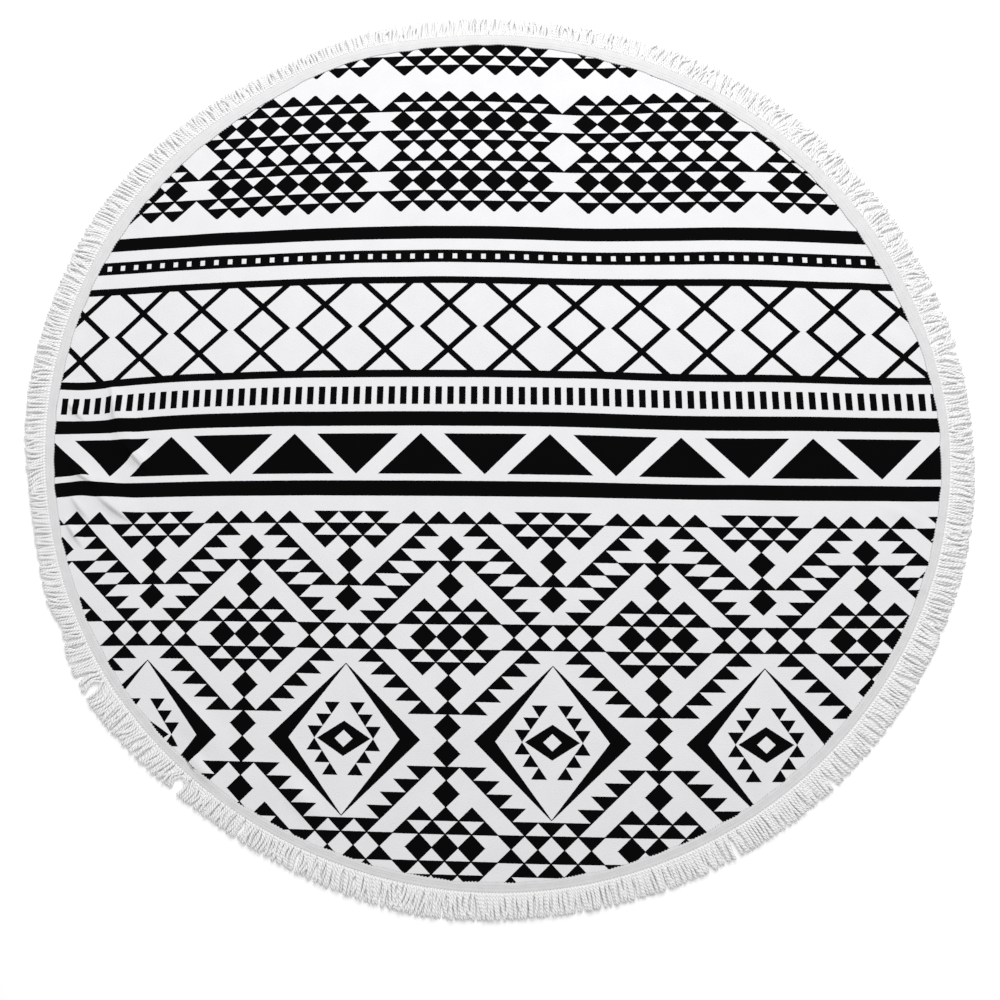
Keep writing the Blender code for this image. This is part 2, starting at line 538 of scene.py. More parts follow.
def loops_group() -> NodeTree:
    """The pile of terry: small round loops in uneven rows.

    Returns:
        The group. Its Height is the pile's surface, and its Tone is a little darker between loops, which is
        painted shade, and varies at random in soft patches.
    """
    group, given, made = new_group(
        "terry_loops",
        (("Vector", "NodeSocketVector", 0.0), ("Loop Size", "NodeSocketFloat", 0.0016)),
        ("Height", "Tone"),
    )
    scale = Formula(group, given.outputs["Loop Size"]).then("POWER", -1.0)
    cells = fill(
        lay_node(group, "ShaderNodeTexVoronoi", voronoi_dimensions="2D", feature="SMOOTH_F1"),
        Vector=given.outputs["Vector"],
        Scale=scale,
        Smoothness=0.5,
        Randomness=0.85,
    )
    height = 1 - Formula(group, cells.outputs["Distance"])
    patches = fill(
        lay_node(group, "ShaderNodeTexNoise"),
        Vector=given.outputs["Vector"],
        Scale=scale * PATCH_SCALE,
        Detail=3.0,
    )
    # Painted shade between the loops, and a real unevenness in soft patches.
    tone = height * LOOP_PAINTED_SHADE + Formula(group, patches.outputs[0]) * PATCH_SHADE + LEAST_TONE
    fill(made, Height=height, Tone=tone)
    return group


def fibres_group() -> NodeTree:
    """The fuzz of spun cotton: short fibres drawn out along the yarn.

    Returns:
        The group. Its Height is the fuzz, and its Tone is a faint unevenness of the yarn's colour.
    """
    group, given, made = new_group(
        "cotton_fibres",
        (
            ("Vector", "NodeSocketVector", 0.0),
            ("Fineness", "NodeSocketFloat", 900.0),
            ("Contrast", "NodeSocketFloat", 0.10),
        ),
        ("Height", "Tone"),
    )
    fuzz = fill(
        lay_node(group, "ShaderNodeTexNoise"),
        Vector=given.outputs["Vector"],
        Scale=given.outputs["Fineness"],
        Detail=2.0,
        Roughness=0.6,
    )
    height = Formula(group, fuzz.outputs[0])
    tone = (height - 0.5) * Formula(group, given.outputs["Contrast"]) + 1.0
    fill(made, Height=height, Tone=tone)
    return group


@dataclass
class Effects:
    """The node groups that several finishes share."""

    loops: NodeTree
    fibres: NodeTree

    def place(self, tree: NodeTree, group: NodeTree, **inputs: object) -> tuple[Formula, Formula]:
        """Puts one of the groups in a material.

        Args:
            tree: the material's shader.
            group: the group.
            inputs: the group's inputs.

        Returns:
            Its Height and its Tone.
        """
        node = lay_node(tree, "ShaderNodeGroup", node_tree=group)
        fill(node, **inputs)
        return Formula(tree, node.outputs["Height"]), Formula(tree, node.outputs["Tone"])


# ---------------------------------------------------------------- the print


Rows = tuple[tuple[int, tuple[int, ...], tuple[int, ...]], ...]


@dataclass(frozen=True)
class TriangleChart:
    """A band of small black triangles on a square lattice, charted row by row as a weaver charts it.

    Each row holds its number, the columns of the triangles in it that point up, and the columns of
    those that point down. Columns count from the middle of the motif, and mirror on both sides of it.
    """

    rows: Rows
    bleed: float  # how far the dye creeps past each edge, in lattice units

    def black(self, column: Formula, row: Formula) -> Formula:
        """Works out where the chart is black.

        Args:
            column: the mirrored column at each point.
            row: the row at each point, with its fraction.

        Returns:
            One where it is black, and nought where it is white.
        """
        slanted = self.bleed * math.sqrt(2)
        inked: Formula | None = None
        for number, pointing_up, pointing_down in self.rows:
            widening = row - (number - slanted)
            narrowing = (number + 1 + slanted) - row
            marks: Formula | None = None
            for centres, reach in ((pointing_up, narrowing), (pointing_down, widening)):
                for centre in centres:
                    mark = column.near(centre, reach)
                    marks = marks + mark if marks else mark
            here = row.near(number + 0.5, 0.5 + self.bleed)
            inked = here.then("MULTIPLY_ADD", marks, inked) if inked else here * marks
        return inked


DIAMOND_ROWS: Rows = (
    (5, (0, 2, 4, 6), ()), (4, (1, 3, 5, 7), ()), (3, (0, 2, 4, 6), ()), (2, (), (0, 2, 4, 6)),
    (1, (), (1, 3, 5, 7)), (0, (), (0, 2, 4, 6)),
)

ARROW_ROWS: Rows = (
    (9, (1, 3), (6, 8)), (8, (2,), (5, 7)), (7, (0, 3), (6, 8)), (6, (4, 8), (0,)),
    (5, (5,), (0, 2, 8)), (4, (0, 6, 8), (3,)), (3, (8,), (0, 4)), (2, (0, 2), (5, 8)),
    (1, (1, 3), (6,)), (0, (0, 2), (5, 7)), (-1, (5, 7), (0, 2)), (-2, (6,), (1, 3)),
    (-3, (5,), (0, 2)), (-4, (0, 4), ()), (-5, (3,), (0,)), (-6, (0, 2), ()), (-7, (0,), ()),
    (-8, (), (0,)), (-9, (0,), ()), (-10, (), (0,)), (-11, (), (0, 2)), (-12, (0,), (3,)),
    (-13, (), (0, 4)), (-14, (0, 2), (5,)), (-15, (1, 3), (6, 8)), (-16, (0, 2), (5, 7)),
    (-17, (5, 7), (0, 2)), (-18, (6, 8), (1, 3)), (-19, (5,), (0, 2)),
)


@dataclass(frozen=True)
class StepDiamond:
    """The stepped diamond eye between the arrows, in lattice units from its middle."""

    column: float = 8.0
    row: float = -8.0
    outer: tuple[float, float] = (5.95, 5.87)
    inner: tuple[float, float] = (4.33, 5.78)
    steps_start: float = 2.80
    step_height: float = 0.933
    step_out: float = 0.643
    step_inside: float = 0.37
    step_half: float = 0.61
    step_lean: float = 0.033
    heart: tuple[float, float] = (2.09, 1.36)
    pupil: tuple[float, float] = (0.70, 0.655)

    def black(self, column: Formula, row: Formula) -> Formula:
        """Works out where the eye is black.

        Args:
            column: the mirrored column at each point.
            row: the row at each point.

        Returns:
            One where it is black, and nought elsewhere.
        """
        beside = self.column - column
        away = abs(row - self.row)

        def diamond(half: tuple[float, float]) -> Formula:
            """One inside a diamond of these half sizes."""
            return (beside / half[0] + away / half[1]).below(1.0)

        frame_ring = diamond(self.outer) - diamond(self.inner)
        heart = diamond(self.heart) - diamond(self.pupil)
        down = (self.steps_start - away) / self.step_height
        step = down.then("FLOOR")
        part = down - step
        centre = step * self.step_out + part * self.step_lean + (self.step_inside + self.step_half)
        half = (1 - part) * self.step_half
        stairs = beside.near(centre, half) * away.below(self.steps_start)
        return frame_ring + heart + stairs


@dataclass(frozen=True)
class BandedPrint:
    """The black on white print, in bands across the towel, in metres from its middle."""

    lattice: tuple[float, float] = (0.0198, 0.01976)
    bleed: float = 0.0007  # how far the dye creeps past each edge
    stripes: Pairs = (
        (0.3360, 0.3588), (0.2535, 0.2648), (0.0873, 0.0990), (0.0047, 0.0279), (-0.1112, -0.0875),
    )
    motif_half: int = 8  # columns from a motif's middle to its edge
    diamonds: TriangleChart = TriangleChart(DIAMOND_ROWS, 0.058)
    diamonds_middle: float = -0.0484
    diamonds_low: float = 0.3868
    diamonds_repeat: float = 0.2716
    arrows: TriangleChart = TriangleChart(ARROW_ROWS, 0.034)
    arrows_middle: float = -0.0736
    arrows_row_zero: float = -0.3343
    arrows_high: float = -0.1367
    eye: StepDiamond = StepDiamond()
    dotted: tuple[float, float] = (0.2922, 0.3140)
    dot_size: tuple[float, float] = (0.0078, 0.0092)
    dot_pitch: float = 0.02381
    dot_centre: float = 0.0211
    crosses: tuple[float, float] = (0.0990, 0.2535)
    cross_middle: float = 0.1760
    cross_spread: float = 0.0402
    cross_pitch: float = 0.1038
    cross_centre: float = 0.0204
    cross_slope: float = 1.03
    cross_half: float = 0.0066
    bars: tuple[float, float] = (0.0415, 0.0705)
    bar_width: float = 0.0091
    bar_pitch: float = 0.01905
    bar_centre: float = -0.0022
    pennants: tuple[float, float] = (-0.0750, -0.0094)
    pennant_pitch: float = 0.2048
    pennant_centre: float = -0.0222
    pennant_slope: float = 0.98

    def folded(self, across: Formula, middle: float) -> Formula:
        """The column in a motif that mirrors about its middle and its edge."""
        return ((across - middle) / self.lattice[0]).then("PINGPONG", float(self.motif_half))

    def inside(self, along: Formula, band: tuple[float, float]) -> Formula:
        """One in a band and the dye's creep round it, and nought outside."""
        return along.between(band[0] - self.bleed, band[1] + self.bleed)

    def diamond_band(self, across: Formula, along: Formula) -> Formula:
        """The diamonds of triangles at the top, which repeat upwards past a white gap."""
        rows = len(self.diamonds.rows)
        wrapped = along.then("WRAP", self.diamonds_low + self.diamonds_repeat, self.diamonds_low)
        risen = (wrapped - self.diamonds_low) / self.lattice[1]
        column = self.folded(across, self.diamonds_middle)
        inked = self.diamonds.black(column, risen.then("WRAP", float(rows), 0.0))
        return inked * risen.below(2.0 * rows) * along.then("GREATER_THAN", self.diamonds_low)

    def arrow_band(self, across: Formula, along: Formula) -> Formula:
        """The arrows and stepped diamonds at the bottom."""
        column = self.folded(across, self.arrows_middle)
        row = (along - self.arrows_row_zero) / self.lattice[1]
        inked = self.arrows.black(column, row) + self.eye.black(column, row)
        return inked * along.below(self.arrows_high)

    def dotted_stripe(self, across: Formula, along: Formula) -> Formula:
        """The black stripe with its row of small white squares."""
        low, high = self.dotted
        column = across.off_nearest(self.dot_centre, self.dot_pitch).below(self.dot_size[0] / 2)
        dot = column * along.near((low + high) / 2, self.dot_size[1] / 2)
        return self.inside(along, self.dotted) - dot

    def cross_band(self, across: Formula, along: Formula) -> Formula:
        """The row of doubled crosses between two lines."""
        off = across.off_nearest(self.cross_centre, self.cross_pitch)
        arm = abs(abs(along - self.cross_middle) - self.cross_spread) * self.cross_slope
        return off.near(arm, self.cross_half) * along.between(*self.crosses)

    def bar_band(self, across: Formula, along: Formula) -> Formula:
        """The row of short upright bars."""
        off = across.off_nearest(self.bar_centre, self.bar_pitch)
        inside = self.inside(along, self.bars)
        return off.below(self.bar_width / 2 + self.bleed) * inside

    def pennant_band(self, across: Formula, along: Formula) -> Formula:
        """The row of large triangles that point down and up by turns."""
        low, high = self.pennants
        half = self.pennant_pitch / 2
        hanging = across.off_nearest(self.pennant_centre, self.pennant_pitch)
        standing = across.off_nearest(self.pennant_centre + half, self.pennant_pitch)
        slanted = self.bleed * math.sqrt(2)
        down = hanging.below((along - low) * self.pennant_slope + slanted)
        up = standing.below((high + slanted) - along)
        return (down + up) * self.inside(along, self.pennants)

    def black(self, across: Formula, along: Formula) -> Formula:
        """Works out where the print is black.

        Args:
            across: the print's own coordinate across the bands.
            along: the print's own coordinate along the towel.

        Returns:
            One where it is black, and nought where it is white.
        """
        inked = self.arrow_band(across, along)
        others = (self.diamond_band, self.dotted_stripe, self.cross_band, self.bar_band, self.pennant_band)
        for band in others:
            inked = inked + band(across, along)
        for stripe in self.stripes:
            inked = inked + self.inside(along, stripe)
        return inked.then("MINIMUM", 1.0)


@dataclass(frozen=True)
class PrintDrift:
    """How far the print lies from its true place, because the loose cloth is pulled here and there."""

    across: Pulls = (
        # (pull, power of x, power of y), each given to the nearest 5 mm
        (-0.045, 2, 0), (0.025, 1, 1), (0.010, 0, 2), (-0.005, 0, 1), (0.035, 3, 0), (0.060, 1, 2),
    )
    along: Pulls = (
        (0.010, 1, 0), (0.025, 2, 0), (-0.030, 1, 1), (0.035, 0, 2), (-0.025, 3, 0), (0.075, 2, 1),
        (-0.010, 1, 2), (0.035, 0, 3),
    )
    tugs: tuple[tuple[float, float, float, float, float], ...] = (
        # (x, y, reach, pull across, pull along), each given to the nearest millimetre
        (0.15, 0.60, 0.12, 0.001, 0.012), (0.15, 0.35, 0.15, 0.001, 0.005),
        (0.45, 0.40, 0.12, -0.004, -0.003), (0.00, 0.65, 0.07, -0.003, 0.001),
        (-0.45, 0.45, 0.12, 0.001, 0.002), (-0.50, 0.30, 0.14, 0.002, 0.001),
        (-0.60, 0.15, 0.08, -0.002, 0.003), (-0.25, 0.20, 0.12, -0.002, -0.001),
        (0.45, 0.15, 0.14, 0.002, 0.000), (0.60, 0.15, 0.12, 0.001, 0.004),
        (0.30, 0.05, 0.15, 0.000, 0.003), (-0.60, 0.00, 0.07, 0.000, 0.003),
        (-0.20, -0.30, 0.20, 0.000, 0.002), (-0.665, -0.105, 0.055, -0.002, -0.006),
        (-0.660, 0.055, 0.050, -0.002, 0.006), (-0.630, -0.040, 0.040, -0.004, 0.000),
        (-0.540, -0.040, 0.040, 0.002, 0.000),
    )

    def placed(self, x: np.ndarray, y: np.ndarray) -> tuple[np.ndarray, np.ndarray]:
        """Finds which part of the print lies at each place.

        Args:
            x: places across, in metres.
            y: places along, in metres.

        Returns:
            The print's own coordinates there.
        """
        across = x + sum(pull * x**right * y**up for pull, right, up in self.across)
        along = y + sum(pull * x**right * y**up for pull, right, up in self.along)
        for centre_x, centre_y, reach, pull_across, pull_along in self.tugs:
            near = np.exp(-((x - centre_x) ** 2 + (y - centre_y) ** 2) / reach**2)
            across, along = across + pull_across * near, along + pull_along * near
        return across, along


# ---------------------------------------------------------------- finishes


SHEEN_ROUGHNESS = 0.6


def start_material(
    name: str, roughness: float, specular: float, sheen: float
) -> tuple[Material, NodeTree, Node]:
    """Starts a material with one Principled shader.

    Args:
        name: the material's name.
        roughness: how rough it is.
        specular: its specular level.
        sheen: the weight of its sheen.

    Returns:
        The material, its tree and its shader.
    """
    material = bpy.data.materials.new(name)
    material.use_nodes = True
    tree = material.node_tree
    shader = tree.nodes["Principled BSDF"]
    fill(shader, Roughness=roughness, Metallic=0.0, Specular_IOR_Level=specular, Sheen_Weight=sheen)
    shader.inputs["Sheen Roughness"].default_value = SHEEN_ROUGHNESS
    return material, tree, shader


def bump(tree: NodeTree, height: Formula, depth: float, under: NodeSocket | None = None) -> NodeSocket:
    """Lays a Bump node.

    Args:
        tree: the shader.
        height: the surface's height, from nought to one.
        depth: the real depth of one, in metres.
        under: the normal of a coarser bump that this one lies on.

    Returns:
        The bumped normal.
    """
    node = fill(lay_node(tree, "ShaderNodeBump"), Height=height, Distance=depth)
    if under is not None:
        tree.links.new(under, node.inputs["Normal"])
    return node.outputs["Normal"]


def tinted(tree: NodeTree, colour: NodeSocket | Colour, tone: Formula) -> NodeSocket:
    """Multiplies a colour by a tone.

    Args:
        tree: the shader.
        colour: the colour, or the socket that gives it.
        tone: how light it is, one for the colour itself.

    Returns:
        The toned colour.
    """
    scale = lay_node(tree, "ShaderNodeVectorMath", operation="SCALE")
    if isinstance(colour, NodeSocket):
        tree.links.new(colour, scale.inputs[0])
    else:
        scale.inputs[0].default_value = colour
    tree.links.new(tone.socket, scale.inputs["Scale"])
    return scale.outputs[0]


def own_place(tree: NodeTree) -> NodeSocket:
    """The place on the piece itself, in metres."""
    return lay_node(tree, "ShaderNodeTexCoord").outputs["Object"]


class Finish:
    """What the finishes share: a name, three levels, and a look that gives a colour and a normal."""

    name: str
    roughness: float
    specular: float
    sheen: float

    def look(self, tree: NodeTree, effects: Effects) -> Look:
        """Lays the finish's own nodes, and returns its colour and its normal."""
        raise NotImplementedError

    def material(self, effects: Effects) -> Material:
        """Makes the finish.

        Args:
            effects: the shared node groups.

        Returns:
            The material.
        """
        material, tree, shader = start_material(self.name, self.roughness, self.specular, self.sheen)
        colour, normal = self.look(tree, effects)
        fill(shader, Base_Color=colour, Normal=normal)
        return material


class YarnFinish(Finish):
    """A finish of spun cotton, with fuzz on it."""

    fuzz_fineness: float
    fuzz_contrast: float

    def fuzz(self, tree: NodeTree, effects: Effects, place: NodeSocket) -> tuple[Formula, Formula]:
        """Lays the fuzz at each place on the piece, and returns its height and its tone."""
        inputs = {"Vector": place, "Fineness": self.fuzz_fineness, "Contrast": self.fuzz_contrast}
        return effects.place(tree, effects.fibres, **inputs)


@dataclass(frozen=True)
class PrintedTerry(Finish):
    """The panel's printed face: white cotton pile with dense black dye."""

    artwork: BandedPrint
    lie: Lie
    name: str = "printed_terry_face"
    roughness: float = 0.95
    specular: float = 0.03
    sheen: float = 0.0
    white: Colour = (0.765, 0.764, 0.778)
    black: Colour = (0.0021, 0.0021, 0.0023)
    loop_size: float = 0.0016
    loop_depth: float = 0.00035
    ragged: float = 0.0007
    ragged_size: float = 0.002
    crest_width: float = 0.62  # of the fold that it crowns
    crest_height: float = 0.70

    def crests(self, tree: NodeTree) -> Formula:
        """Works out the sharp crests on the fine folds.

        Args:
            tree: the shader.

        Returns:
            Their height in metres.
        """
        place = own_place(tree)
        total: Formula | None = None
        for x, y, length, width, height, turned in self.lie.folds:
            within = fill(
                lay_node(tree, "ShaderNodeMapping", vector_type="TEXTURE"),
                Vector=place,
                Location=(x, y, 0.0),
                Rotation=(0.0, 0.0, math.radians(turned)),
                Scale=(length / 2, width * self.crest_width / 2, 1.0),
            )
            square = lay_node(tree, "ShaderNodeVectorMath", operation="DOT_PRODUCT")
            for socket in (square.inputs[0], square.inputs[1]):
                tree.links.new(within.outputs[0], socket)
            inside = (1 - Formula(tree, square.outputs["Value"])).then("MAXIMUM", 0.0)
            crest = inside * inside * (height * self.crest_height)
            total = crest + total if total else crest
        return total

    def look(self, tree: NodeTree, effects: Effects) -> Look:
        """Prints the pile with dye that creeps a little, and lays the folds' crests under it.

        Args:
            tree: the shader.
            effects: the shared node groups.

        Returns:
            The colour and the normal.
        """
        across, along, both = uv_formulas(tree, PRINT_COORDINATES)
        pile = fill(
            lay_node(tree, "ShaderNodeTexNoise"), Vector=both, Scale=1 / self.ragged_size, Detail=1.0
        )
        parts = lay_node(tree, "ShaderNodeSeparateColor")
        tree.links.new(pile.outputs["Color"], parts.inputs[0])
        aside = (Formula(tree, parts.outputs[0]) - 0.5) * self.ragged
        upward = (Formula(tree, parts.outputs[1]) - 0.5) * self.ragged
        inked = self.artwork.black(across + aside, along + upward)
        height, tone = effects.place(tree, effects.loops, Vector=both, Loop_Size=self.loop_size)
        # The loops' tone puts painted shade between the loops, on both the white and the print.
        colour = tinted(tree, blended(tree, inked, (self.white, self.black)), tone)
        folded = bump(tree, self.crests(tree), 1.0)
        return colour, bump(tree, height, self.loop_depth, folded)


@dataclass(frozen=True)
class PlainTerry(Finish):
    """The panel's plain underside, with longer loops than the printed face."""

    name: str = "plain_terry_back"
    roughness: float = 0.95
    specular: float = 0.05
    sheen: float = 0.05
    white: Colour = (0.79, 0.79, 0.78)
    loop_size: float = 0.0022
    loop_depth: float = 0.0008

    def look(self, tree: NodeTree, effects: Effects) -> Look:
        """Covers the cloth with loops."""
        height, tone = effects.place(tree, effects.loops, Vector=own_place(tree), Loop_Size=self.loop_size)
        # The loops' tone puts painted shade between the loops.
        return tinted(tree, self.white, tone), bump(tree, height, self.loop_depth)


@dataclass(frozen=True)
class TapeWeave(YarnFinish):
    """The woven heading tape: fine ribs across it, and a faint patchiness."""

    name: str = "heading_tape_weave"
    roughness: float = 0.9
    specular: float = 0.1
    sheen: float = 0.05
    white: Colour = (0.715, 0.714, 0.723)
    rib_pitch: float = 0.0018
    rib_depth: float = 0.0003
    # Lighter on the ribs and darker between them: painted shade in the grooves of the weave.
    rib_painted_shade: tuple[float, float] = (0.06, 0.95)  # (how much more on a rib, tone between ribs)
    patch_scale: float = 70.0
    patch_shade: tuple[float, float] = (0.16, 0.92)
    fuzz_fineness: float = 900.0
    fuzz_contrast: float = 0.08
    fuzz_depth: float = 0.0001

    def look(self, tree: NodeTree, effects: Effects) -> Look:
        """Weaves the ribs, with fuzz on them.

        Args:
            tree: the shader.
            effects: the shared node groups.

        Returns:
            The colour and the normal.
        """
        along, _, _ = uv_formulas(tree, WEAVE_COORDINATES)
        place = own_place(tree)
        ribs = along.off_nearest(0.0, self.rib_pitch) / (self.rib_pitch / 2)
        fuzz, tone = self.fuzz(tree, effects, place)
        normal = bump(tree, fuzz, self.fuzz_depth, bump(tree, ribs, self.rib_depth))
        patches = fill(
            lay_node(tree, "ShaderNodeTexNoise"), Vector=place, Scale=self.patch_scale, Detail=3.0
        )
        # Painted shade between the ribs, on the fuzz's tone, and a real faint patchiness.
        shade = tone * (ribs * self.rib_painted_shade[0] + self.rib_painted_shade[1])
        shade = shade * (Formula(tree, patches.outputs[0]) * self.patch_shade[0] + self.patch_shade[1])
        return tinted(tree, self.white, shade), normal


@dataclass(frozen=True)
class TwistedCotton(YarnFinish):
    """The fringe's cotton cord, of two plies laid together."""

    name: str = "fringe_cord_cotton"
    roughness: float = 0.85
    specular: float = 0.12
    sheen: float = 0.08
    white: Colour = (0.898, 0.892, 0.894)
    plies: float = 2.0
    half_turns: float = 7.5
    ply_roundness: float = 0.6  # the lower, the narrower the groove
    # Lighter on the plies and darker in the groove between them: painted shade.
    ply_painted_shade: tuple[float, float] = (0.27, 0.75)  # (how much more on a ply, tone in the groove)
    groove_depth: float = 0.0007
    fuzz_fineness: float = 700.0
    fuzz_contrast: float = 0.10
    fuzz_depth: float = 0.00015

    def look(self, tree: NodeTree, effects: Effects) -> Look:
        """Twists the plies, with fuzz on them.

        Args:
            tree: the shader.
            effects: the shared node groups.

        Returns:
            The colour and the normal.
        """
        along, around_it, _ = uv_formulas(tree, STRAND_COORDINATES)
        place = own_place(tree)
        turn = along * self.half_turns + around_it * self.plies
        swell = abs((turn * math.pi).then("SINE")).then("POWER", self.ply_roundness)
        fuzz, tone = self.fuzz(tree, effects, place)
        normal = bump(tree, fuzz, self.fuzz_depth, bump(tree, swell, self.groove_depth))
        # Painted shade in the grooves between the plies, on the fuzz's own tone.
        shade = tone * (swell * self.ply_painted_shade[0] + self.ply_painted_shade[1])
        return tinted(tree, self.white, shade), normal


@dataclass(frozen=True)
class SewingThread(YarnFinish):
    """The white thread of the seams."""

    name: str = "seam_thread"
    roughness: float = 0.6
    specular: float = 0.25
    sheen: float = 0.0
    white: Colour = (0.72, 0.72, 0.72)
    fuzz_fineness: float = 2500.0
    fuzz_contrast: float = 0.2
    fuzz_depth: float = 0.00005

    def look(self, tree: NodeTree, effects: Effects) -> Look:
        """Covers the thread with fuzz."""
        fuzz, tone = self.fuzz(tree, effects, own_place(tree))
        return tinted(tree, self.white, tone), bump(tree, fuzz, self.fuzz_depth)


# ---------------------------------------------------------------- the towel's pieces


@dataclass
class TerryPanel:
    """The round panel of printed terry."""

    rim: Rim
    lie: Lie
    drift: PrintDrift
    artwork: BandedPrint
    thickness: float = 0.0025
    steps: int = 720
    top_rings: int = 100
    under_rings: int = 30
    rim_crowding: float = 1.25
    edge_line: Pairs = ((0.9986, 1.0), (1.0, 0.75), (1.0, 0.25), (0.9986, 0.0))  # (share out, share up)
    cut_width: float = 1.41
    bake_width: float = 1.5
    corner_centre: float = 0.07
    corner_half: float = 0.060
    corner_band: float = 0.006
    edge_from: float = 0.01  # a face lies on the edge where its mean share up is past this
    printed_from: float = 0.99

    def ring_shares(self, rings: int) -> list[float]:
        """How far out each ring of a face lies, closer together towards the rim."""
        return [1 - (1 - ring / rings) ** self.rim_crowding for ring in range(rings)]

    def build(self) -> Object:
        """Builds the panel as one closed shell, lying as the towel lies.

        Returns:
            The piece, with its print and bake coordinates.
        """
        top = [(share, 1.0) for share in self.ring_shares(self.top_rings)]
        under = [(share, 0.0) for share in reversed(self.ring_shares(self.under_rings))]
        piece = mesh_object("terry_panel", spun(top + [*self.edge_line] + under, self.steps, closed=False))
        mesh = piece.data
        unit = get_points(mesh)
        share, up = np.hypot(unit[:, 0], unit[:, 1]), unit[:, 2]
        angles = np.arctan2(unit[:, 1], unit[:, 0])
        radius = share * self.rim.cloth_radius(angles)
        x, y = radius * np.cos(angles), radius * np.sin(angles)
        z = self.lie.lift(self.rim, x, y) + up * self.thickness
        set_points(mesh, np.stack([x, y, z], axis=1))
        self.write_coordinates(mesh, share, up)
        return piece

    def write_coordinates(self, mesh: Mesh, share: np.ndarray, up: np.ndarray) -> None:
        """Tells the two faces apart, and writes the print's and the bake's coordinates.

        Args:
            mesh: the panel's mesh.
            share: how far out each point is, one at the edge.
            up: how far up through the thickness each point is.
        """
        mean_up = face_means(mesh, up)
        printed = mean_up > self.printed_from
        sides = np.where(printed, Face.PRINTED.value, Face.PLAIN.value).astype(np.int32)
        mesh.polygons.foreach_set("material_index", sides)
        corners, faces = loop_points(mesh), loop_faces(mesh)
        places = get_points(mesh)[corners]
        x, y = places[:, 0], places[:, 1]
        write_uv(mesh, PRINT_COORDINATES, *self.drift.placed(x, y))
        on_edge = (mean_up > self.edge_from)[faces]
        angles = np.arctan2(y, x)
        small = self.corner_half * share[corners] + self.corner_band * up[corners] * on_edge
        flat = 0.5 + places[:, :2] / self.bake_width
        ring = self.corner_centre + small[:, None] * np.stack([np.cos(angles), np.sin(angles)], axis=1)
        write_uv(mesh, BAKE_COORDINATES, *np.where(printed[faces][:, None], flat, ring).T)

    def dress(self, piece: Object, effects: Effects) -> None:
        """Gives the panel its two finishes, and puts it in the place of its solid."""
        piece.data.materials.append(PrintedTerry(self.artwork, self.lie).material(effects))
        piece.data.materials.append(PlainTerry().material(effects))
        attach(piece, TOWEL_BODY)
        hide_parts("towel_cloth")


